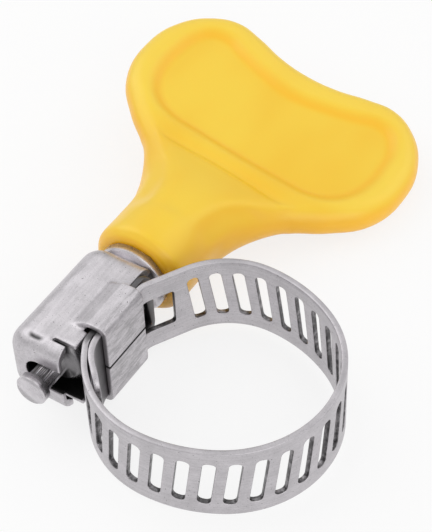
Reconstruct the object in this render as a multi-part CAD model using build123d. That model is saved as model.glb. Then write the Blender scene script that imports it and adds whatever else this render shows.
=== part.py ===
"""Worm-drive hose clamp with a moulded butterfly key.

Four pieces: the slotted band, the folded housing, the worm screw and the key moulded on its head.
Lengths are in millimetres and angles in degrees. The loop lies on its edge: +Z is the axis of the
hose, the screw lies along +Y with the key at its far end, and the housing is on the -X side.
"""
import os
from math import cos, degrees, floor, radians, sin, tan

from build123d import *

# Loop and band
BORE_RADIUS = 9.6
BORE_HALF_ARC = 60
LOOP_HALF_BREADTH = 10.12
SIDE_TURN = 30
FLANK_TURN = 60
HEAD_FLANK_RADIUS = 7.4
HEAD_BEND_RADIUS = 2.0
TIP_FLANK_RADIUS = 9.7
TIP_BEND_RADIUS = 2.5
BAND_WIDTH = 8.0
BAND_THICKNESS = 0.55
BAND_CORNER_RADIUS = 1.6
FREE_END_Y = 5.0

# Slots punched in the band, and the window near its fixed end
SLOT_PITCH = 2.117
SLOT_EDGE_MARGIN = 1.35
SLOT_WIDTH = 1.12
SLOT_SLANT = 7.5
SLOT_END_MARGIN = 1.3
WINDOW_LENGTH = 5.4
WINDOW_HEIGHT = 4.0
WINDOW_LEAD = 2.0
WINDOW_CORNER_RADIUS = 0.3
WINDOW_LAND = 1.3

# Tongue that carries on past the housing, inside the free band
TONGUE_START_Y = -3.2
TONGUE_BEND_RADIUS = 4.0
TONGUE_TURN = 45
TONGUE_LENGTH = 2.6

# Housing, folded from one sheet
SHEET = 0.5
LAYER_GAP = 0.03
EDGE_GAP = 0.2
SEAM_GAP = 0.18
FLAP_TIP_Y = -3.4
FLAP_HEAD_Y = 2.1
FOLD_RADIUS = 0.55
SHOULDER_RADIUS = 0.55
SHOULDER_RISE = 0.75
TUNNEL_CLEARANCE = 0.25
TUNNEL_TIP_Y = -7.0
TUNNEL_HEAD_Y = 5.9
CROWN_RADIUS = 2.3
TIP_ROUND = 1.5
HEAD_ROUND = 1.7
FOOT_GAP = 0.06
RELIEF_GAP = 0.15
SIDE_END_Y = -5.4
SLIT_WIDTH = 0.35
SLIT_REACH = 0.4
NOSE_FOOT_RISE = 0.8
NOTCH_HALF_WIDTH = 1.4
NOTCH_OFFSET = 0.5
HEAD_HOLE_CLEARANCE = 0.1

# Worm screw
WORM_GAP = 0.2
ROOT_RADIUS = 2.5
CREST_RADIUS = 3.1
THREAD_ROOT_WIDTH = 0.95
THREAD_CREST_WIDTH = 0.5
THREAD_SINK = 0.15
THREAD_TIP_Y = -3.84
THREAD_LENGTH = 7.4
CORE_TIP_Y = -5.0
CORE_CHAMFER = 0.6
SHANK_RADIUS = 1.1
TIP_DISC_RADIUS = 1.5
TIP_DISC_THICKNESS = 0.9
TIP_DISC_CHAMFER = 0.2
TIP_FACE_Y = -9.0
FLANGE_RADIUS = 3.5
FLANGE_THICKNESS = 0.9
FLANGE_CHAMFER = 0.2
FLANGE_GAP = 0.1
HEX_ACROSS_FLATS = 6.0
HEX_LENGTH = 6.0

# Butterfly key
KEY_ROLL = 12.1
KEY_GAP = 0.15
KEY_FIT = 0.03
COLLAR_RADIUS = 4.75
COLLAR_LENGTH = 5.2
COLLAR_CUT = 0.7
NECK_LENGTH = 15.95
NECK_START_HALF_WIDTH = 4.4
NECK_END_HALF_WIDTH = 10.0
NECK_END_HALF_HEIGHT = 1.6
WING_START_Y = 19.0
WING_LENGTH = 21.2
WING_HALF_SPAN = 15.5
WING_THICKNESS = 3.6
WING_BEVEL = 1.1
RIM_WIDTH = 2.6
BEAD_WIDTH = 0.8
PANEL_DEPTH = 0.6
PANEL_DRAFT = 40
PANEL_CORNER_RADIUS = 2.0
# Across and along the wing, as shares of its half span and length, then of the shorter leg at each corner
WING_SHARES = ((0.21, 0.873, 0.45), (0.59, 1.0, 0.43), (1.0, 0.693, 0.42), (0.94, 0.328, 0.34))
WING_BASE_SHARE = 0.36
# Along the neck, and from its eight-sided start to its flat end across and through it
NECK_SHARES = ((0.12, 0.0, 0.0), (0.3, 0.03, 0.04), (0.52, 0.12, 0.2), (0.76, 0.475, 0.64), (1.0, 1.0, 1.0))
NECK_CORNER_SHARE = 0.586

OVERRUN = 1.0

# Depths from the hose axis to the layers under the screw
flap_depth = BORE_RADIUS + LAYER_GAP + SHEET / 2
fixed_depth = flap_depth + SHEET / 2 + LAYER_GAP + BAND_THICKNESS / 2
free_depth = fixed_depth + BAND_THICKNESS + LAYER_GAP
free_face = free_depth + BAND_THICKNESS / 2
screw_depth = free_face + WORM_GAP + ROOT_RADIUS
tunnel_half_width = CREST_RADIUS + TUNNEL_CLEARANCE + SHEET
shoulder_depth = free_face + FOOT_GAP + SHEET / 2
flange_y = TUNNEL_HEAD_Y + FLANGE_GAP
hex_y = flange_y + FLANGE_THICKNESS
key_y = hex_y + KEY_GAP


def bearing(angle):
    """The unit vector that points along an angle in the loop's plane."""
    return Vector(cos(radians(angle)), sin(radians(angle)))


class Leg:
    """One straight (turn 0) or right-hand bend of the band's middle line."""

    def __init__(self, start, heading, size, turn=0):
        self.start = start
        self.heading = heading
        self.size = size
        self.turn = turn
        self.length = size * radians(turn) if turn else size

    def at(self, travel):
        """The middle line's point and heading after a travel along this leg."""
        if not self.turn:
            return self.start + bearing(self.heading) * travel, self.heading
        heading = self.heading - degrees(travel / self.size)
        centre = self.start - bearing(self.heading + 90) * self.size
        return centre + bearing(heading + 90) * self.size, heading

    def edge(self, offset):
        """This leg moved outwards from the loop by an offset."""
        points = []
        for travel in (0, self.length / 2, self.length):
            point, heading = self.at(travel)
            points.append(point + bearing(heading + 90) * offset)
        return ThreePointArc(*points) if self.turn else Line(points[0], points[-1])


def lay(start, heading, steps):
    """Lay straights and bends end to end."""
    legs = []
    for size, turn in steps:
        legs.append(Leg(start, heading, size, turn))
        start, heading = legs[-1].at(legs[-1].length)
    return legs


def closing_straight(depth, flank_radius, bend_radius):
    """The straight between a flank and the housing that brings the band to its depth there."""
    middle = BORE_RADIUS + BAND_THICKNESS / 2
    bend_turn = 180 - BORE_HALF_ARC - SIDE_TURN - FLANK_TURN
    reach = side_radius() * sin(radians(SIDE_TURN)) - middle * cos(radians(BORE_HALF_ARC))
    reach += flank_radius * sin(radians(FLANK_TURN)) + bend_radius * (1 - cos(radians(bend_turn)))
    return (depth - reach) / sin(radians(bend_turn))


def side_radius():
    """The radius that carries the loop from the hose out to its half breadth."""
    middle = BORE_RADIUS + BAND_THICKNESS / 2
    rise = LOOP_HALF_BREADTH + BAND_THICKNESS / 2 - middle * sin(radians(BORE_HALF_ARC))
    return rise / (1 - cos(radians(SIDE_TURN)))


def band_legs():
    """The band's middle line, from the tongue through the housing and round the loop to the free end."""
    bend_turn = 180 - BORE_HALF_ARC - SIDE_TURN - FLANK_TURN
    loop = [
        (HEAD_BEND_RADIUS, bend_turn),
        (closing_straight(fixed_depth, HEAD_FLANK_RADIUS, HEAD_BEND_RADIUS), 0),
        (HEAD_FLANK_RADIUS, FLANK_TURN),
        (side_radius(), SIDE_TURN),
        (BORE_RADIUS + BAND_THICKNESS / 2, 2 * BORE_HALF_ARC),
        (side_radius(), SIDE_TURN),
        (TIP_FLANK_RADIUS, FLANK_TURN),
        (closing_straight(free_depth, TIP_FLANK_RADIUS, TIP_BEND_RADIUS), 0),
        (TIP_BEND_RADIUS, bend_turn),
    ]
    trial = lay(Vector(-fixed_depth, 0), 90, loop)
    bore_start = trial[4].start
    head_y = (BORE_RADIUS + BAND_THICKNESS / 2) * sin(radians(BORE_HALF_ARC)) - bore_start.Y
    tip_y = trial[-1].at(trial[-1].length)[0].Y + head_y
    tongue = [(TONGUE_LENGTH, 0), (TONGUE_BEND_RADIUS, TONGUE_TURN)]
    swing = lay(Vector(0, 0), 90 + TONGUE_TURN, tongue)[-1]
    start = Vector(-fixed_depth, TONGUE_START_Y) - swing.at(swing.length)[0]
    steps = tongue + [(head_y - TONGUE_START_Y, 0)] + loop + [(FREE_END_Y - tip_y, 0)]
    return lay(start, 90 + TONGUE_TURN, steps)


def place_on(legs, travel):
    """The plane that lies on the band after a travel from the tongue's end, facing outwards."""
    for leg in legs:
        if travel <= leg.length:
            break
        travel -= leg.length
    point, heading = leg.at(travel)
    return Plane(origin=point, x_dir=bearing(heading), z_dir=bearing(heading + 90))


def band():
    """The strip bent to its loop, with a slanted slot at every thread pitch and a window."""
    legs = band_legs()
    outer = [leg.edge(BAND_THICKNESS / 2) for leg in legs]
    inner = [leg.edge(-BAND_THICKNESS / 2) for leg in legs]
    ends = [Line(outer[0] @ 0, inner[0] @ 0), Line(outer[-1] @ 1, inner[-1] @ 1)]
    strip = extrude(make_face(outer + inner + ends), amount=BAND_WIDTH / 2, both=True)
    strip = fillet(strip.edges().filter_by(end_corner), BAND_CORNER_RADIUS)

    total = sum(leg.length for leg in legs)
    window_start = sum(leg.length for leg in legs[:3]) - WINDOW_LEAD
    window_face = RectangleRounded(WINDOW_LENGTH, WINDOW_HEIGHT, WINDOW_CORNER_RADIUS)
    cuts = [place_on(legs, window_start + WINDOW_LENGTH / 2) * window_face]
    first = total - FREE_END_Y + THREAD_TIP_Y + SLOT_PITCH / 2
    start = window_start + WINDOW_LENGTH + WINDOW_LAND
    before = floor((first - start) / SLOT_PITCH)
    after = floor((total - SLOT_END_MARGIN - first) / SLOT_PITCH)
    slot_face = Rot(0, 0, 90 - SLOT_SLANT) * Rectangle(BAND_WIDTH - 2 * SLOT_EDGE_MARGIN, SLOT_WIDTH)
    for count in range(-before, after + 1):
        cuts.append(place_on(legs, first + count * SLOT_PITCH) * slot_face)
    return strip - [extrude(cut, amount=OVERRUN, both=True) for cut in cuts]


def end_corner(edge):
    """Whether an edge runs through the band's thickness."""
    return abs(edge.length - BAND_THICKNESS) < BAND_THICKNESS / BAND_WIDTH


def across(y):
    """The plane square to the screw at a place along it, with +Z across and depth upwards."""
    return Plane(origin=(0, y, 0), x_dir=(0, 0, 1), z_dir=(0, -1, 0))


def tunnel_form(inset, foot):
    """The rounded loaf over the worm, moved inwards by an inset, down to a foot depth."""
    half = tunnel_half_width - inset
    crown = screw_depth + half
    walls = FilletPolyline(
        (-half, foot), (-half, crown), (half, crown), (half, foot), radius=CROWN_RADIUS - inset
    )
    section = make_face(walls.edges() + [Line((half, foot), (-half, foot))])
    head_y = TUNNEL_HEAD_Y - inset
    tip_y = TUNNEL_TIP_Y + inset
    form = extrude(across(head_y) * section, amount=head_y - tip_y)
    for end, radius in ((-1, HEAD_ROUND), (0, TIP_ROUND)):
        rim = form.faces().sort_by(Axis.Y)[end].edges().sort_by(Axis.X)[:-1]
        form = chamfer(rim, radius - inset) if inset else fillet(rim, radius)
    return form


def notch(half_width, centre_depth, foot, near_y, far_y):
    """A round-ended cut across an end wall, open towards the band."""
    shape = Pos(0, centre_depth) * Circle(half_width)
    shape += Pos(0, (centre_depth + foot) / 2) * Rectangle(2 * half_width, centre_depth - foot)
    return extrude(across(near_y) * shape, amount=near_y - far_y)


def block(half_width, low, high, near_y, far_y):
    """A box across the housing between two depths and two places along the screw."""
    shape = Pos(0, (low + high) / 2) * Rectangle(2 * half_width, high - low)
    return extrude(across(near_y) * shape, amount=near_y - far_y)


def tunnel():
    """The loaf's shell, with a nose wall at the tip and a notched wall at the head."""
    foot = free_face + FOOT_GAP
    shell = tunnel_form(0, foot) - tunnel_form(SHEET, foot - OVERRUN)
    wide = tunnel_half_width + OVERRUN
    nose_foot = foot + NOSE_FOOT_RISE
    join = shoulder_depth + SHOULDER_RISE + SHOULDER_RADIUS
    below = foot - OVERRUN
    past_tip = TUNNEL_TIP_Y - OVERRUN
    head_hole = ROOT_RADIUS + HEAD_HOLE_CLEARANCE
    cuts = [
        block(wide, below, screw_depth - SLIT_REACH, SIDE_END_Y, SIDE_END_Y - SLIT_WIDTH),
        block(wide, below, nose_foot, SIDE_END_Y, past_tip),
        block(wide, below, join, FLAP_HEAD_Y + RELIEF_GAP, FLAP_TIP_Y - RELIEF_GAP),
        notch(NOTCH_HALF_WIDTH, screw_depth + NOTCH_OFFSET, below, SIDE_END_Y, past_tip),
        notch(head_hole, screw_depth, below, TUNNEL_HEAD_Y + OVERRUN, TUNNEL_HEAD_Y - SHEET - OVERRUN),
    ]
    return shell - cuts


def fold():
    """One flap: from the tunnel's wall out over the band's edge and back under the band to the seam."""
    wall = tunnel_half_width - SHEET / 2
    edge = BAND_WIDTH / 2 + EDGE_GAP + SHEET / 2
    join = shoulder_depth + SHOULDER_RISE + SHOULDER_RADIUS
    middle = FilletPolyline(
        (SEAM_GAP / 2, flap_depth),
        (edge, flap_depth),
        (edge, shoulder_depth),
        (wall, shoulder_depth + SHOULDER_RISE),
        (wall, join),
        radius=[FOLD_RADIUS, SHOULDER_RADIUS, SHOULDER_RADIUS],
    )
    section = trace(middle, line_width=SHEET)
    return extrude(across(FLAP_HEAD_Y) * section, amount=FLAP_HEAD_Y - FLAP_TIP_Y)


def housing():
    """The tunnel with its two flaps, whose ends meet in a seam under the band."""
    flap = fold()
    return tunnel() + flap + mirror(flap, about=Plane.XY)


def along_screw(radius, near_y, far_y):
    """A round length of the screw between two places along it."""
    axis = Plane(origin=(-screw_depth, near_y, 0), x_dir=(1, 0, 0), z_dir=(0, 1, 0))
    return extrude(axis * Circle(radius), amount=far_y - near_y)


def worm_thread():
    """The right-hand thread, whose crest is inside the slots wherever it faces the band."""
    path = Helix(pitch=SLOT_PITCH, height=THREAD_LENGTH, radius=ROOT_RADIUS)
    start = Plane(origin=path @ 0, x_dir=(1, 0, 0), z_dir=path % 0)
    height = CREST_RADIUS - ROOT_RADIUS
    section = make_face(Polyline(
        (-THREAD_SINK, -THREAD_ROOT_WIDTH / 2),
        (height, -THREAD_CREST_WIDTH / 2),
        (height, THREAD_CREST_WIDTH / 2),
        (-THREAD_SINK, THREAD_ROOT_WIDTH / 2),
        close=True,
    ))
    thread = sweep(start * section, path=path, is_frenet=True)
    return Plane(origin=(-screw_depth, THREAD_TIP_Y, 0), x_dir=(-1, 0, 0), z_dir=(0, 1, 0)) * thread


def hexagon(extra):
    """The hexagonal head that the key grips, grown by a clearance."""
    axis = Plane(origin=(-screw_depth, hex_y, 0), x_dir=(1, 0, 0), z_dir=(0, 1, 0))
    outline = RegularPolygon(HEX_ACROSS_FLATS / 2 + extra, 6, major_radius=False)
    return extrude(axis * outline, amount=HEX_LENGTH + extra)


def worm_screw():
    """Tip disc, shank, threaded core, flange and hexagonal head, turned in one piece."""
    disc = along_screw(TIP_DISC_RADIUS, TIP_FACE_Y, TIP_FACE_Y + TIP_DISC_THICKNESS)
    disc = chamfer(disc.edges().filter_by(GeomType.CIRCLE).sort_by(Axis.Y)[0], TIP_DISC_CHAMFER)
    shank = along_screw(SHANK_RADIUS, TIP_FACE_Y + TIP_DISC_THICKNESS / 2, CORE_TIP_Y + OVERRUN)
    core = along_screw(ROOT_RADIUS, CORE_TIP_Y, flange_y)
    core = chamfer(core.edges().filter_by(GeomType.CIRCLE).sort_by(Axis.Y)[0], CORE_CHAMFER)
    flange = along_screw(FLANGE_RADIUS, flange_y, hex_y)
    flange = chamfer(flange.edges().filter_by(GeomType.CIRCLE).sort_by(Axis.Y)[0], FLANGE_CHAMFER)
    return disc + shank + core + worm_thread() + flange + hexagon(0)


def wing_corners():
    """One side of the wing's outline as corners, from the middle of its far edge into the neck."""
    side = [Vector(0, WING_START_Y + WING_SHARES[0][1] * WING_LENGTH)]
    for wide, rise, _ in WING_SHARES:
        side.append(Vector(wide * WING_HALF_SPAN, WING_START_Y + rise * WING_LENGTH))
    return side + [Vector(WING_BASE_SHARE * WING_HALF_SPAN, WING_START_Y)]


def corner_radius(before, corner, after, share):
    """The radius whose tangents take a share of the shorter of two legs."""
    turn = (corner - before).get_angle(after - corner)
    return share * min((corner - before).length, (after - corner).length) / tan(radians(turn / 2))


def wing_face():
    """The butterfly outline, closed by a straight base inside the neck."""
    side = wing_corners()
    shares = [share for _, _, share in WING_SHARES]
    radii = [corner_radius(*side[n:n + 3], share) for n, share in enumerate(shares)]
    round_side = FilletPolyline(*side, radius=radii)
    other_side = mirror(round_side, about=Plane.YZ)
    base = Line(round_side @ 1, other_side @ 1)
    return make_face(round_side.edges() + other_side.edges() + [base])


def collar():
    """The round collar next to the flange, bevelled at both ends."""
    axis = Plane(origin=(0, key_y, 0), x_dir=(1, 0, 0), z_dir=(0, 1, 0))
    form = extrude(axis * Circle(COLLAR_RADIUS), amount=COLLAR_LENGTH)
    return chamfer(form.edges().filter_by(GeomType.CIRCLE), COLLAR_CUT)


def neck():
    """The neck, which changes from eight equal sides in the collar to a wide flat end in the wing."""
    sections = []
    for rise, wide, thin in NECK_SHARES:
        half_width = NECK_START_HALF_WIDTH + wide * (NECK_END_HALF_WIDTH - NECK_START_HALF_WIDTH)
        half_height = NECK_START_HALF_WIDTH + thin * (NECK_END_HALF_HEIGHT - NECK_START_HALF_WIDTH)
        plane = Plane(origin=(0, key_y + rise * NECK_LENGTH, 0), x_dir=(1, 0, 0), z_dir=(0, 1, 0))
        outline = Rectangle(2 * half_width, 2 * half_height)
        cut = NECK_CORNER_SHARE * min(half_width, half_height)
        sections.append(plane * chamfer(outline.vertices(), cut))
    return loft(sections)


def panel(face):
    """The shallow recess inside the rim, from the bead past the neck to the far edge, on one face."""
    start = key_y + NECK_LENGTH + BEAD_WIDTH
    keep = Pos(0, start + WING_LENGTH / 2) * Rectangle(2 * WING_HALF_SPAN, WING_LENGTH)
    inside = offset(face, amount=-RIM_WIDTH) & keep
    inside = fillet(inside.vertices().sort_by(Axis.Y)[:2], PANEL_CORNER_RADIUS)
    floor_plane = Plane(origin=(0, 0, WING_THICKNESS / 2 - PANEL_DEPTH))
    return extrude(floor_plane * inside, amount=PANEL_DEPTH, taper=-PANEL_DRAFT)


def key_handle():
    """The wing with its rim, panels and neck, moulded round the screw's head."""
    face = wing_face()
    wing = extrude(face, amount=WING_THICKNESS / 2, both=True)
    wing = chamfer(wing.edges().filter_by(Plane.XY), WING_BEVEL)
    recess = panel(face)
    body = wing + neck() + collar() - [recess, mirror(recess, about=Plane.XY)]
    return Pos(-screw_depth, 0, 0) * Rot(0, KEY_ROLL, 0) * body - hexagon(KEY_FIT)


if __name__ == "__main__":
    os.makedirs("parts", exist_ok=True)
    for make in (band, housing, worm_screw, key_handle):
        export_step(make(), f"parts/{make.__name__}.step")
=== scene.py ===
"""Looks of the worm-drive hose clamp with a butterfly key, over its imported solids."""
from collections import namedtuple
from math import cos, degrees, exp, floor, pi, radians, sin

import bmesh
import bpy
from mathutils import Matrix, Vector
from mathutils.geometry import delaunay_2d_cdt
from mathutils.kdtree import KDTree


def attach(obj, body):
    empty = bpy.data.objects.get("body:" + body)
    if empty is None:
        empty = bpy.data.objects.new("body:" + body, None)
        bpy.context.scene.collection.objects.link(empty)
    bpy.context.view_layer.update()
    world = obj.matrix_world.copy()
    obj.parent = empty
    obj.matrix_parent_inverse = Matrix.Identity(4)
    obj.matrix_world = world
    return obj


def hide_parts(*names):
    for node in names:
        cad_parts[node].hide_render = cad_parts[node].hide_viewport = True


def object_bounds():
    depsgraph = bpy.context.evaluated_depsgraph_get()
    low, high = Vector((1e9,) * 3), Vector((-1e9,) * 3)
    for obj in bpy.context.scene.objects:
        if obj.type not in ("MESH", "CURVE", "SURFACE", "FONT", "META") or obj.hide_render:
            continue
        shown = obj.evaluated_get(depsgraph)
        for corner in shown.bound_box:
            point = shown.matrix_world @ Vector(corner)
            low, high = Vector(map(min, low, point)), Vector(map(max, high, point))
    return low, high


MM = 0.001
DOUBLES = 0.002

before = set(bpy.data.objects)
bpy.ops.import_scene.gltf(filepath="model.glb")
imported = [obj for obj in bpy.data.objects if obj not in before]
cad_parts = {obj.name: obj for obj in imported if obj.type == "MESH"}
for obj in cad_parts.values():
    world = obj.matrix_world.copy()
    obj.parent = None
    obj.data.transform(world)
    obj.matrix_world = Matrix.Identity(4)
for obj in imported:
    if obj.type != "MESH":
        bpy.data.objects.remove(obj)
cad_low, cad_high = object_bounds()


# Lengths are in millimetres and turns in degrees, up to add_piece
# Band: laid out flat and bent along the same line as the solid
THICK = 0.55
WIDTH = 8.0
BORE = 9.6
LOOP_HALF = 10.12
FIXED_DEPTH, FREE_DEPTH = 10.435, 11.015
FIXED_BEND, FREE_BEND, BEND_TURN = 2.0, 2.5, 30
FIXED_FLANK, FREE_FLANK, FLANK_TURN = 7.4, 9.7, 60
SIDE_TURN, HEAD_TURN = 30, 120
TONGUE_LENGTH, TONGUE_CURL, TONGUE_TURN = 2.6, 4.0, 45
TONGUE_Y = -3.2
FREE_END_Y = 5.0
END_CORNER, END_MARGIN = 1.6, 1.3
WINDOW_LENGTH, WINDOW_HEIGHT, WINDOW_CORNER, WINDOW_BACK = 5.4, 4.0, 0.3, 2.0
PITCH = 2.117
SLOT_LENGTH, SLOT_WIDTH, SLOT_CORNER, SLANT = 5.3, 1.12, 0.44, 7.5
OUTLINE_STEP = 0.16
GRID = 0.34
OUTER_RELIEF = 0.012
EDGE_ROUND = 0.07

# Screw and housing
THREAD_TIP_Y = -3.84
SCREW_DEPTH = 13.99
SHOULDER_SIZE = (1.6, 5.5, 0.4)
SHOULDER_PLACE = (-12.48, -0.65, 4.0)
SHOULDER_LEAN = 27
SHOULDER_X, SHOULDER_Y, SHOULDER_Z = (-14.3, -11.75), (-4.2, 2.9), 3.72
CREASE_X, CREASE_Y, CREASE_BOW, CREASE_DEPTH = -15.0, -6.1, 0.12, 0.1
ROOF_Z = 2.4

# Key: half outlines, across it and along it from the screw's axis, and the dip in its neck along it
KEY_ROLL = 12.1
WING = ((0, 37.5), (3.2, 37.85), (6.2, 38.75), (9.2, 39.2), (12.0, 37.9), (14.3, 34.9), (15.15, 30.8),
        (14.2, 26.0), (11.3, 22.6), (8.3, 20.1), (6.6, 17.6), (5.5, 15.3), (4.8, 13.6))
PANEL = ((0, 33.9), (3.4, 34.5), (6.4, 35.4), (8.7, 36.2), (10.3, 35.85), (11.5, 34.4), (12.1, 31.5),
         (12.0, 28.5), (11.2, 26.2), (9.8, 24.6), (7.8, 23.7), (5.0, 23.5))
NECK_VALLEY = ((10.0, 3.0), (13.5, 3.3), (15.5, 3.6), (17.7, 5.1), (20.0, 7.4))
WING_HALF_THICK, WING_EDGE = 1.78, 1.7
COLLAR_RADIUS, COLLAR_LENGTH, COLLAR_Y = 3.9, 7.0, 10.6
NECK_Y, NECK_END_Y, WING_Y = 10, 21.3, 19
BLEND_Y = (9, 20.5)
PANEL_DEPTH, BEAD_DEPTH, VALLEY_DEPTH = 0.62, 0.34, 0.16
BEAD_Y, BEAD_BOW = 21.45, 0.012

Leg = namedtuple("Leg", "start heading size turn length")


def bearing(angle):
    return Vector((cos(radians(angle)), sin(radians(angle))))


def on_leg(leg, travel):
    """The place and heading some way along a leg."""
    if not leg.turn:
        return leg.start + bearing(leg.heading) * travel, leg.heading
    later = leg.heading - degrees(travel / leg.size)
    return leg.start - bearing(leg.heading + 90) * leg.size + bearing(later + 90) * leg.size, later


def lay(start, heading, steps):
    """Legs one after another: a radius and its turn, or a straight length and no turn."""
    legs = []
    for size, turn in steps:
        legs.append(Leg(start, heading, size, turn, size * radians(turn) if turn else size))
        start, heading = on_leg(legs[-1], legs[-1].length)
    return legs


def band_legs():
    """The band's middle line, from its tongue round the loop to its free end."""
    middle = BORE + THICK / 2
    half_head, side_turn = radians(HEAD_TURN / 2), radians(SIDE_TURN)
    flank_turn, bend_turn = radians(FLANK_TURN), radians(BEND_TURN)
    side = (LOOP_HALF + THICK / 2 - middle * sin(half_head)) / (1 - cos(side_turn))

    def closing(depth, flank, bend):
        reach = side * sin(side_turn) - middle * cos(half_head)
        reach += flank * sin(flank_turn) + bend * (1 - cos(bend_turn))
        return (depth - reach) / sin(bend_turn)

    loop = [(FIXED_BEND, BEND_TURN), (closing(FIXED_DEPTH, FIXED_FLANK, FIXED_BEND), 0),
            (FIXED_FLANK, FLANK_TURN), (side, SIDE_TURN), (middle, HEAD_TURN), (side, SIDE_TURN),
            (FREE_FLANK, FLANK_TURN), (closing(FREE_DEPTH, FREE_FLANK, FREE_BEND), 0), (FREE_BEND, BEND_TURN)]
    trial = lay(Vector((-FIXED_DEPTH, 0)), 90, loop)
    head_y = middle * sin(half_head) - trial[4].start.y
    tip_y = on_leg(trial[-1], trial[-1].length)[0].y + head_y
    tongue = [(TONGUE_LENGTH, 0), (TONGUE_CURL, TONGUE_TURN)]
    swing = lay(Vector((0, 0)), 90 + TONGUE_TURN, tongue)[-1]
    start = Vector((-FIXED_DEPTH, TONGUE_Y)) - on_leg(swing, swing.length)[0]
    return lay(start, 90 + TONGUE_TURN, tongue + [(head_y - TONGUE_Y, 0)] + loop + [(FREE_END_Y - tip_y, 0)])


def ring(centre, length, height, corner, turn=0):
    """A rounded rectangle's outline, evenly stepped."""
    points = []
    spans = ((length / 2, height / 2, 0), (-length / 2, height / 2, 90),
             (-length / 2, -height / 2, 180), (length / 2, -height / 2, 270))
    steps = max(3, round(corner * pi / 2 / OUTLINE_STEP))
    for x, y, angle in spans:
        cx = x - corner if x > 0 else x + corner
        cy = y - corner if y > 0 else y + corner
        for n in range(steps + 1):
            points.append(Vector((cx, cy)) + bearing(angle + 90 * n / steps) * corner)
    spaced = []
    for a, b in zip(points, points[1:] + points[:1]):
        count = max(1, round((b - a).length / (2 * OUTLINE_STEP)))
        spaced += [a.lerp(b, n / count) for n in range(count)]
    c, s = cos(radians(turn)), sin(radians(turn))
    return [Vector((centre[0] + p.x * c - p.y * s, centre[1] + p.x * s + p.y * c)) for p in spaced]


def inside(point, loop):
    hit = False
    for a, b in zip(loop, loop[1:] + loop[:1]):
        if (a.y > point.y) != (b.y > point.y):
            if point.x < (b.x - a.x) * (point.y - a.y) / (b.y - a.y) + a.x:
                hit = not hit
    return hit


def around(point, holes):
    """The holes whose boxes hold a point."""
    return [hole for x0, x1, y0, y1, hole in holes if x0 < point.x < x1 and y0 < point.y < y1]


def boxed(loop):
    xs, ys = [p.x for p in loop], [p.y for p in loop]
    return min(xs) - GRID / 2, max(xs) + GRID / 2, min(ys) - GRID / 2, max(ys) + GRID / 2, loop


def band_loops(legs, total):
    """The flat band's outline, its window and its slots at the thread's pitch."""
    window = sum(leg.length for leg in legs[:3]) - WINDOW_BACK
    first = total - FREE_END_Y + THREAD_TIP_Y + PITCH / 2
    before = floor((first - window - WINDOW_LENGTH - END_MARGIN) / PITCH)
    after = floor((total - END_MARGIN - first) / PITCH)
    loops = [ring((total / 2, 0), total, WIDTH, END_CORNER),
             ring((window + WINDOW_LENGTH / 2, 0), WINDOW_LENGTH, WINDOW_HEIGHT, WINDOW_CORNER)]
    for n in range(-before, after + 1):
        loops.append(ring((first + n * PITCH, 0), SLOT_LENGTH, SLOT_WIDTH, SLOT_CORNER, turn=90 + SLANT))
    return loops


def flat_band(loops, total):
    """The flat band as points and faces, with even points between its edges."""
    points, edges = [], []
    for loop in loops:
        base = len(points)
        points += loop
        edges += [(base + n, base + (n + 1) % len(loop)) for n in range(len(loop))]
    holes = [boxed(loop) for loop in loops[1:]]
    for i in range(1, int(total / GRID)):
        for j in range(1, int(WIDTH / GRID)):
            p = Vector((i * GRID, (j - WIDTH / GRID / 2) * GRID))
            if any(inside(p, hole) or min((p - q).length for q in hole) < GRID / 2 for hole in around(p, holes)):
                continue
            at_corner = min(p.x, total - p.x) < END_CORNER and abs(p.y) > WIDTH / 2 - END_CORNER
            if at_corner or abs(p.y) > WIDTH / 2 - GRID / 2:
                continue
            points.append(p)
    flat, _, faces, _, _, _ = delaunay_2d_cdt(points, edges, [], 1, 1e-6)

    def solid(face):
        middle = sum((flat[n] for n in face), Vector((0, 0))) / len(face)
        return not any(inside(middle, hole) for hole in around(middle, holes))

    return flat, [face for face in faces if solid(face)]


def band_mesh():
    """The band, bent to its loop, with rounded edges."""
    legs = band_legs()
    total = sum(leg.length for leg in legs)
    flat, faces = flat_band(band_loops(legs, total), total)

    def bent(p, offset):
        travel = min(max(p.x, 0), total)
        for leg in legs:
            if travel <= leg.length:
                break
            travel -= leg.length
        at, heading = on_leg(leg, travel)
        at = at + bearing(heading + 90) * offset
        return Vector((at.x, at.y, p.y))

    bm = bmesh.new()
    outer = [bm.verts.new(bent(p, THICK / 2 - OUTER_RELIEF)) for p in flat]
    inner = [bm.verts.new(bent(p, -THICK / 2)) for p in flat]
    for f in faces:
        bm.faces.new([outer[n] for n in f])
        bm.faces.new([inner[n] for n in reversed(f)])
    rims = [e for e in bm.edges if len(e.link_faces) == 1]
    number = {v: n for n, v in enumerate(outer)}
    for e in rims:
        loop = e.link_loops[0]
        a, b = loop.vert, loop.link_loop_next.vert
        if a in number:
            bm.faces.new([b, a, inner[number[a]], inner[number[b]]])
    bmesh.ops.recalc_face_normals(bm, faces=bm.faces)
    bmesh.ops.bevel(bm, geom=rims, offset=EDGE_ROUND, segments=2, profile=0.5, affect="EDGES", material=-1)
    return bm


# Forms that start from the solids' own meshes
def merged(node):
    """A node's mesh in millimetres with its split corners joined."""
    bm = bmesh.new()
    bm.from_mesh(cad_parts[node].data)
    bmesh.ops.scale(bm, vec=(1 / MM, 1 / MM, 1 / MM), verts=bm.verts)
    bmesh.ops.remove_doubles(bm, verts=bm.verts, dist=DOUBLES)
    bmesh.ops.recalc_face_normals(bm, faces=bm.faces)
    return bm


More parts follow.
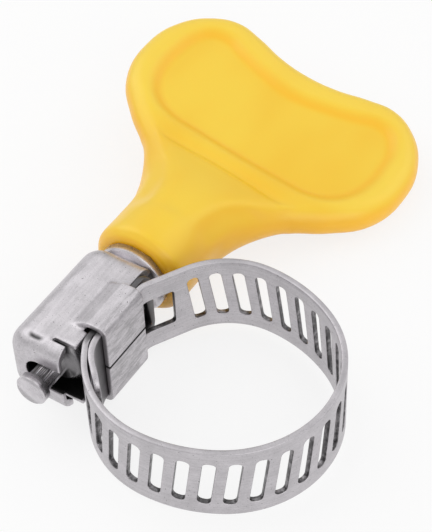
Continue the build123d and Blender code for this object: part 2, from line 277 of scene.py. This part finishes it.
def remeshed(bm, voxel, smooth):
    """The same form as one even skin, with its corners eased."""
    mesh = bpy.data.meshes.new("even")
    bm.to_mesh(mesh)
    piece = bpy.data.objects.new("even", mesh)
    bpy.context.scene.collection.objects.link(piece)
    skin = piece.modifiers.new("skin", "REMESH")
    skin.mode = "VOXEL"
    skin.voxel_size = voxel
    corners = piece.modifiers.new("corners", "SMOOTH")
    corners.factor = 0.5
    corners.iterations = smooth
    done = bmesh.new()
    done.from_object(piece, bpy.context.evaluated_depsgraph_get())
    bpy.data.objects.remove(piece)
    bm.free()
    return done


def ease(bm, verts, times):
    for _ in range(times):
        bmesh.ops.smooth_vert(bm, verts=verts, factor=0.5, use_axis_x=True, use_axis_y=True, use_axis_z=True)


def bell(value, middle, width):
    return exp(-((value - middle) / width) ** 2)


def smoothed(value, low, high):
    """0 under low, 1 over high and smooth between."""
    share = min(1, max(0, (value - low) / (high - low)))
    return share * share * (3 - 2 * share)


def along(table, value):
    """The value beside a place in a table of pairs, straight between them."""
    for (a, first), (b, second) in zip(table, table[1:]):
        if value <= b:
            return first + (second - first) * min(1, max(0, (value - a) / (b - a)))
    return table[-1][1]


def flat_form(half, thick=0.0, edge=0.0):
    """A smooth outline, mirrored across the key's middle, as a line or as a plate with a round edge."""
    curve = bpy.data.curves.new("outline", "CURVE")
    curve.dimensions = "2D"
    curve.fill_mode = "BOTH" if thick else "NONE"
    spline = curve.splines.new("BEZIER")
    knots = [(-x, y) for x, y in reversed(half) if x] + list(half)
    spline.bezier_points.add(len(knots) - 1)
    for knot, (x, y) in zip(spline.bezier_points, knots):
        knot.co = (x, y, 0)
        knot.handle_left_type = knot.handle_right_type = "AUTO"
    spline.use_cyclic_u = True
    spline.resolution_u = 12
    curve.extrude = thick - edge
    curve.bevel_depth, curve.bevel_resolution, curve.offset = edge, 6, -edge
    piece = bpy.data.objects.new("outline", curve)
    mesh = bpy.data.meshes.new_from_object(piece)
    bpy.data.objects.remove(piece)
    return mesh


def key_axis():
    return Matrix.Translation((-SCREW_DEPTH, 0, 0)) @ Matrix.Rotation(radians(KEY_ROLL), 4, "Y")


def key_blank():
    """The solid's collar and neck joined to a smooth wing with a round edge, as one even skin."""
    bm = merged("key_handle")
    bmesh.ops.transform(bm, matrix=key_axis().inverted(), verts=bm.verts)
    bmesh.ops.bisect_plane(bm, geom=bm.verts[:] + bm.edges[:] + bm.faces[:], plane_co=(0, NECK_END_Y, 0),
                           plane_no=(0, 1, 0), clear_outer=True)
    bmesh.ops.holes_fill(bm, edges=bm.edges)
    lying = Matrix.Translation((0, COLLAR_Y, 0)) @ Matrix.Rotation(pi / 2, 4, "X")
    bmesh.ops.create_cone(bm, cap_ends=True, segments=64, radius1=COLLAR_RADIUS, radius2=COLLAR_RADIUS,
                          depth=COLLAR_LENGTH, matrix=lying)
    bm.from_mesh(flat_form(WING, WING_HALF_THICK, WING_EDGE))
    bmesh.ops.remove_doubles(bm, verts=bm.verts, dist=DOUBLES)
    bmesh.ops.recalc_face_normals(bm, faces=bm.faces)
    return remeshed(bm, 0.16, 8)


def key_mesh():
    """The key: its blank with soft panels, the bead that closes them and the dips in its neck."""
    bm = key_blank()
    for mark in ("groove_shade", "rim_highlight"):
        bm.verts.layers.float.new(mark)
    groove_shade, rim_highlight = (bm.verts.layers.float[mark] for mark in ("groove_shade", "rim_highlight"))
    ease(bm, [v for v in bm.verts if BLEND_Y[0] < v.co.y < BLEND_Y[1]], 90)

    line = [v.co.to_2d() for v in flat_form(PANEL).vertices]
    near = KDTree(len(line))
    for n, point in enumerate(line):
        near.insert(point.to_3d(), n)
    near.balance()
    bm.normal_update()
    for v in bm.verts:
        x, y, z = v.co
        face = smoothed(abs(v.normal.z), 0.35, 0.8) * (1 if z > 0 else -1)
        if y > WING_Y:
            _, n, _ = near.find((x, y, 0))
            run = line[(n + 1) % len(line)] - line[n - 1]
            inward = Vector((run.y, -run.x)).normalized()
            depth = (Vector((x, y)) - line[n]).dot(inward)
            # Marks for the material: painted shade in the groove along the panel's border, and a painted highlight
            # on the rim outside it
            v[groove_shade] = bell(depth, 0.35, 0.45) * abs(face)
            v[rim_highlight] = (1 - smoothed(depth, -0.9, 0.1)) * abs(face) * smoothed(y, 22.5, 25.0)
            v.co.z -= PANEL_DEPTH * smoothed(depth, -0.75, 0.85) * face
            width = 1 - smoothed(abs(x), 3.8, 8.4)
            v.co.z -= BEAD_DEPTH * bell(y, BEAD_Y - BEAD_BOW * x * x, 0.55) * width * face
        elif y > NECK_Y:
            fade = smoothed(y, 10.5, 13.0) * (1 - smoothed(y, 17.5, 19.0))
            v.co -= v.normal * VALLEY_DEPTH * fade * bell(abs(x), along(NECK_VALLEY, y), 0.8) * abs(face)
    ease(bm, bm.verts, 4)
    bmesh.ops.transform(bm, matrix=key_axis(), verts=bm.verts)
    return bm


def housing_mesh():
    """The housing's eased skin, its shoulders drawn into its walls, with a crease in the bend of its nose."""
    bm = merged("housing")
    x, y, z = SHOULDER_PLACE
    for side in (-1, 1):
        lean = Matrix.Rotation(radians(-SHOULDER_LEAN * side), 4, "Y") @ Matrix.Diagonal((*SHOULDER_SIZE, 1))
        bmesh.ops.create_cube(bm, size=1, matrix=Matrix.Translation((x, y, z * side)) @ lean)
    bm = remeshed(bm, 0.09, 6)
    ease(bm, [v for v in bm.verts if SHOULDER_X[0] < v.co.x < SHOULDER_X[1]
              and SHOULDER_Y[0] < v.co.y < SHOULDER_Y[1] and abs(v.co.z) > SHOULDER_Z], 14)
    for v in bm.verts:
        if v.co.z > ROOF_Z:
            bow = CREASE_Y + CREASE_BOW * (v.co.x - CREASE_X) ** 2
            v.co.z -= CREASE_DEPTH * bell(v.co.x, CREASE_X, 0.6) * bell(v.co.y, bow, 0.2)
    return bm


def add_piece(name, bm, node, body, finish, sharp=None):
    """Adds a finished form as a piece that stands for a node."""
    mesh = bpy.data.meshes.new(name)
    bmesh.ops.scale(bm, vec=(MM, MM, MM), verts=bm.verts)
    bmesh.ops.recalc_face_normals(bm, faces=bm.faces)
    for f in bm.faces:
        f.smooth = True
    bm.to_mesh(mesh)
    bm.free()
    if sharp:
        mesh.set_sharp_from_angle(angle=radians(sharp))
    mesh.materials.append(finish)
    piece = bpy.data.objects.new(name, mesh)
    bpy.context.scene.collection.objects.link(piece)
    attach(piece, body)
    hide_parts(node)


# Materials. Their places and masks are in millimetres too
class Val:
    """A node's output, which can be summed, multiplied and mixed."""

    def __init__(self, tree, socket):
        self.tree, self.socket = tree, socket

    def add(self, kind, output=0, sets=(), **inputs):
        """A new node: its settings first, then its sockets by name, or by number after the letter i."""
        node = self.tree.nodes.new(kind)
        for key, value in sets:
            setattr(node, key, value)
        for key, value in inputs.items():
            socket = node.inputs[int(key[1:]) if key[1:].isdigit() else key.replace("_", " ")]
            if isinstance(value, Val):
                self.tree.links.new(value.socket, socket)
            else:
                socket.default_value = value
        return Val(self.tree, node.outputs[output])

    def math(self, kind, other):
        return self.add("ShaderNodeMath", sets=[("operation", kind)], i0=self, i1=other)

    def vector(self, kind, other=(0.0, 0.0, 0.0), output=0):
        return self.add("ShaderNodeVectorMath", output, [("operation", kind)], i0=self, i1=other)

    def __add__(self, other):
        return self.math("ADD", other)

    def __mul__(self, other):
        return self.math("MULTIPLY", other)

    def __sub__(self, other):
        return self.math("SUBTRACT", other)

    def __rsub__(self, other):
        return self.add("ShaderNodeMath", sets=[("operation", "SUBTRACT")], i0=other, i1=self)

    __radd__, __rmul__ = __add__, __mul__

    def greatest(self, *others):
        """The strongest of several masks."""
        for other in others:
            self = self.math("MAXIMUM", other)
        return self

    def above(self, low, high):
        """0 under low, 1 over high and smooth between. With low over high, the other way round."""
        return self.add("ShaderNodeMapRange", sets=[("interpolation_type", "SMOOTHSTEP")],
                        i0=self, i1=low, i2=high, i3=0.0, i4=1.0)

    def span(self, low, high):
        """From low at 0 to high at 1."""
        return self.add("ShaderNodeMapRange", i0=self, i1=0.0, i2=1.0, i3=low, i4=high)

    def within(self, low, high, soft):
        """1 between low and high, 0 outside them."""
        return self.above(low - soft, low + soft) * self.above(high + soft, high - soft)

    def axis(self, number):
        return self.add("ShaderNodeSeparateXYZ", output=number, Vector=self)

    def colour(self, first, second):
        return self.add("ShaderNodeMix", output=2, sets=[("data_type", "RGBA")], i0=self, i6=first, i7=second)

    def stretched(self, x, y, z):
        return self.vector("MULTIPLY", (x, y, z))

    def noise(self, scale, detail, rough):
        return self.add("ShaderNodeTexNoise", Vector=self, Scale=scale, Detail=detail, Roughness=rough)

    def bumped(self, strength, distance):
        return self.add("ShaderNodeBump", Strength=strength, Distance=distance, Height=self)

    def normal(self):
        return self.add("ShaderNodeTexCoord", output=1)

    def mark(self, name):
        """What the mesh carries at each point under a name."""
        return self.add("ShaderNodeAttribute", output=2, sets=[("attribute_name", name)])


def new_material(name):
    made = bpy.data.materials.new(name)
    made.use_nodes = True
    shader = made.node_tree.nodes["Principled BSDF"]
    place = Val(made.node_tree, None).add("ShaderNodeTexCoord", output=3)
    return made, shader, place.stretched(1 / MM, 1 / MM, 1 / MM)


def feed(shader, **values):
    for key, value in values.items():
        socket = shader.inputs[key.replace("_", " ")]
        if isinstance(value, Val):
            value.tree.links.new(value.socket, socket)
        else:
            socket.default_value = value


ROSE = 0.042
# Near black, mixed in for painted shade and for the darker streaks on the housing's flaps
PAINTED_SHADE = (0.03, 0.03, 0.03, 1.0)


def steel_grey(level):
    """A grey with a slight rose cast."""
    return (level * (1 + ROSE), level, level * (1 + ROSE), 1.0)


def sheet_steel(name, dark, light, rough, streak, shade_mask):
    """Rolled stainless sheet: rolling streaks, cloudy handling marks, fine specks, and painted shade, near black,
    where the given mask puts it.
    """
    made, shader, place = new_material(name)
    lines = place.stretched(*streak).noise(1.0, 4.0, 0.6)
    cloud = place.noise(0.5, 4.0, 0.6)
    specks = place.noise(6.0, 2.0, 0.7)
    tone = (lines * 0.32 + cloud * 0.36 + specks * 0.32).above(0.36, 0.64)
    colour = tone.colour(steel_grey(dark), steel_grey(light))
    colour = specks.above(0.62, 0.72).colour(colour, steel_grey(dark * 0.4))
    # Painted shade: where the part's mask is high, the colour goes towards near black
    shade = shade_mask(place, place.normal())
    feed(shader, Base_Color=shade.colour(colour, PAINTED_SHADE), Metallic=0.88,
         Roughness=(lines * 0.3 + cloud * 0.7).span(rough - 0.12, rough + 0.14),
         Normal=(lines * 0.4 + specks * 0.6).bumped(0.10, 0.00004))
    return made


def on_housing(place, facing):
    """Painted shade inside the tunnel, on the cut edges of its feet and flaps, in the seam and in the nose's
    crease, and darker noisy streaks on the flaps."""
    x, y, z = (place.axis(n) for n in range(3))
    across, forward, up = (facing.axis(n) for n in range(3))
    out = across * (x + SCREW_DEPTH) * 1.8 + forward * (y + 0.55) + up * z * 1.8
    # Painted shade: inside the tunnel, in the gap at the feet, in the seam between the flaps, in the nose's crease
    # and on the flaps' front cut edge
    inner = x.within(-17.9, -11.5, 0.1) * y.within(-7.2, 5.8, 0.1) * (1 - out.above(-1.2, 0.0))
    feet = x.within(-12.4, -11.0, 0.1) * across.above(0.3, 0.7) * y.within(2.2, 6.0, 0.1)
    seam = z.within(-0.15, 0.15, 0.07) * x.above(-10.3, -10.2)
    bow = y - (x - CREASE_X) * (x - CREASE_X) * CREASE_BOW
    crease = x.within(-15.65, -14.4, 0.3) * z.above(ROOF_Z, ROOF_Z + 0.2)
    crease = crease * bow.within(CREASE_Y - 0.16, CREASE_Y + 0.16, 0.16)
    dark_streaks = place.stretched(2.2, 0.5, 2.2).noise(1.3, 4.0, 0.65).above(0.42, 0.66)
    flap = x.above(-10.5, -10.3) * dark_streaks
    lip = x.above(-11.3, -11.1) * y.within(-5.2, -3.4, 0.2) * forward.above(-0.35, -0.8)
    return (inner * 0.95).greatest(feet * 0.8, seam * 0.95, lip * 0.7, crease * 0.92, flap * 0.32)


def on_screw(place, facing):
    """Painted shade along the screw, more so the deeper the tunnel covers it."""
    y = place.axis(1)
    tip, shank, thread = (y.within(-12.0, -6.3, 0.3), y.within(-6.3, 5.7, 0.3), y.within(-4.3, 5.7, 0.3))
    return (tip * 0.06).greatest(shank * 0.72, thread * 0.95)


def on_band(place, facing):
    """Painted shade on the cut walls of the slots, in patches, inside the tongue's curl, and on the end that runs
    through the housing.
    """
    x, y, z = (place.axis(n) for n in range(3))
    level = place.stretched(1.0, 1.0, 0.0)
    # Painted shade: on the end the housing covers, inside the tongue's curl, and in patches on the slots' cut
    # walls
    covered = x.within(-12.0, -10.72, 0.02) * y.within(-4.5, 6.0, 0.6)
    radial = level.vector("NORMALIZE").vector("DOT_PRODUCT", facing, output=1)
    cut = (1 - (radial * radial).above(0.15, 0.55)) * z.within(-2.95, 2.95, 0.1)
    curl = level.vector("DISTANCE", (TONGUE_CURL - FIXED_DEPTH, TONGUE_Y, 0.0), output=1)
    tongue = curl.above(TONGUE_CURL + 0.1, TONGUE_CURL - 0.1) * z.within(-3.85, 3.85, 0.08) * y.above(-6.4, -4.0)
    patchy = place.noise(1.6, 3.0, 0.6).above(0.3, 0.6).span(0.4, 0.85)
    return (covered * 0.8).greatest(tongue * 0.7, cut * patchy)


def plastic(name, deep, bright, side, recess_shade, highlight):
    """Glossy moulded plastic: faint flow tones, warmer painted shade on its sides and in its grooves, a paler
    painted highlight on its rim and a slight orange peel.
    """
    made, shader, place = new_material(name)
    flow = place.stretched(1.0, 0.5, 1.0).noise(0.12, 2.0, 0.5)
    peel = place.noise(2.2, 2.0, 0.5)
    dust = place.noise(9.0, 2.0, 0.7).above(0.66, 0.74)
    # Painted shade: faces turned away from straight up take the warmer side colour
    upward = place.normal().axis(2).above(0.2, 0.97)
    colour = flow.above(0.3, 0.7).colour(deep, bright)
    # Painted highlight on the rim, and painted shade in the groove along the panel's border, from the marks the
    # key's mesh carries
    colour = (place.mark("rim_highlight") * 0.6).colour(colour, highlight)
    colour = (place.mark("groove_shade") * 0.8).colour(colour, recess_shade)
    feed(shader, Base_Color=upward.colour(side, colour),
         Roughness=(peel * 0.5 + dust * 0.5).span(0.34, 0.48), Normal=peel.bumped(0.05, 0.0001),
         Specular_IOR_Level=0.5, Coat_Weight=0.12, Coat_Roughness=0.2,
         Subsurface_Weight=0.1, Subsurface_Scale=1.0, Subsurface_Radius=(0.003, 0.002, 0.0006))
    return made


band_steel = sheet_steel("band_steel", 0.425, 0.58, 0.38, (0.12, 0.12, 6.0), on_band)
housing_steel = sheet_steel("housing_steel", 0.463, 0.65, 0.42, (3.0, 0.3, 3.0), on_housing)
screw_steel = sheet_steel("screw_steel", 0.50, 0.72, 0.28, (0.5, 5.0, 0.5), on_screw)
# The side and recess colours are painted shade, and the pale one is a painted highlight
key_plastic = plastic("key_plastic", deep=(0.95, 0.585, 0.024, 1.0), bright=(0.97, 0.655, 0.042, 1.0),
                      side=(0.97, 0.52, 0.018, 1.0), recess_shade=(0.98, 0.545, 0.012, 1.0),
                      highlight=(0.98, 0.70, 0.066, 1.0))

add_piece("band_look", band_mesh(), "band", "clamp", band_steel, sharp=50)
add_piece("housing_look", housing_mesh(), "housing", "clamp", housing_steel)
add_piece("screw_look", merged("worm_screw"), "worm_screw", "screw", screw_steel, sharp=35)
add_piece("key_look", key_mesh(), "key_handle", "screw", key_plastic)

dressed_low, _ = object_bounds()


# Floor, light and camera. Lengths of the floor and the lamps are in metres
FLOOR_HALF = 1.2
FLOOR_GREY = (0.93, 0.93, 0.93, 1.0)
FLOOR_WHITE_SHARE = 0.80
WHITE = (1, 1, 1, 1)
LAMP_AIM = (-0.008, 0.011, 0)
SKY, SKY_MIRRORED = 0.68, (0.42, 0.90)
SENSOR = 36
PICTURE_HEIGHT = 532


def add_floor(z):
    bm = bmesh.new()
    bmesh.ops.create_grid(bm, x_segments=1, y_segments=1, size=FLOOR_HALF)
    bmesh.ops.translate(bm, vec=(0, 0, z), verts=bm.verts)
    mesh = bpy.data.meshes.new("floor")
    bm.to_mesh(mesh)
    bm.free()
    made, shader, place = new_material("floor_white")
    feed(shader, Base_Color=FLOOR_GREY, Roughness=0.6)
    tree = made.node_tree
    rays = [place.add("ShaderNodeLightPath", output=ray)
            for ray in ("Is Camera Ray", "Is Glossy Ray", "Is Transmission Ray")]
    white = place.add("ShaderNodeEmission", Color=WHITE, Strength=1.0)
    mixed = place.add("ShaderNodeMixShader", i0=rays[0].greatest(*rays[1:]) * FLOOR_WHITE_SHARE,
                      i1=Val(tree, shader.outputs[0]), i2=white)
    tree.links.new(mixed.socket, tree.nodes["Material Output"].inputs["Surface"])
    mesh.materials.append(made)
    floor_piece = bpy.data.objects.new("floor", mesh)
    bpy.context.scene.collection.objects.link(floor_piece)


def add_light(name, place, size, power):
    light = bpy.data.lights.new(name, "AREA")
    light.shape = "DISK"
    light.size = size
    light.energy = power
    lamp = bpy.data.objects.new(name, light)
    lamp.location = place
    lamp.rotation_mode = "QUATERNION"
    lamp.rotation_quaternion = (Vector(LAMP_AIM) - Vector(place)).to_track_quat("-Z", "Y")
    bpy.context.scene.collection.objects.link(lamp)


def add_camera(azimuth, elevation, roll, distance, target, focal):
    """A camera on a target, with angles in degrees, lengths in millimetres and its focal length in pixels."""
    a, e, r = radians(azimuth), radians(elevation), radians(roll)
    back = Vector((sin(a) * cos(e), -cos(a) * cos(e), sin(e)))
    right = Vector((cos(a), sin(a), 0))
    up = back.cross(right)
    x = right * cos(r) + up * sin(r)
    y = up * cos(r) - right * sin(r)
    data = bpy.data.cameras.new("camera")
    data.sensor_width = SENSOR
    data.lens = focal * SENSOR / PICTURE_HEIGHT
    data.clip_start, data.clip_end = 0.01, 5
    camera = bpy.data.objects.new("camera", data)
    turn = Matrix((x, y, back)).transposed().to_4x4()
    camera.matrix_world = Matrix.Translation((Vector(target) + back * distance) * MM) @ turn
    bpy.context.scene.collection.objects.link(camera)
    bpy.context.scene.camera = camera


def add_sky():
    """Even white light, which polished metal sees as darker near the ground."""
    world = bpy.data.worlds.new("world")
    bpy.context.scene.world = world
    world.use_nodes = True
    sky = world.node_tree.nodes["Background"]
    sight = Val(world.node_tree, None)
    mirrored = sight.add("ShaderNodeLightPath", output="Is Glossy Ray")
    tent = sight.add("ShaderNodeTexCoord").axis(2).above(-0.05, 0.75).span(*SKY_MIRRORED)
    feed(sky, Color=WHITE, Strength=(tent - SKY) * mirrored + SKY)


add_floor(min(dressed_low.z, cad_low.z))
add_light("key", (-0.27, 0.00, 0.23), size=0.42, power=0.36)
add_light("back", (0.20, 0.30, 0.24), size=0.36, power=0.16)
add_light("fill", (0.42, -0.28, 0.22), size=0.60, power=0.98)
add_camera(azimuth=34.39, elevation=46.58, roll=-2.75, distance=150, target=(-8.29, 11.42, 0), focal=1665)
add_sky()
bpy.context.scene.view_settings.view_transform = "Standard"
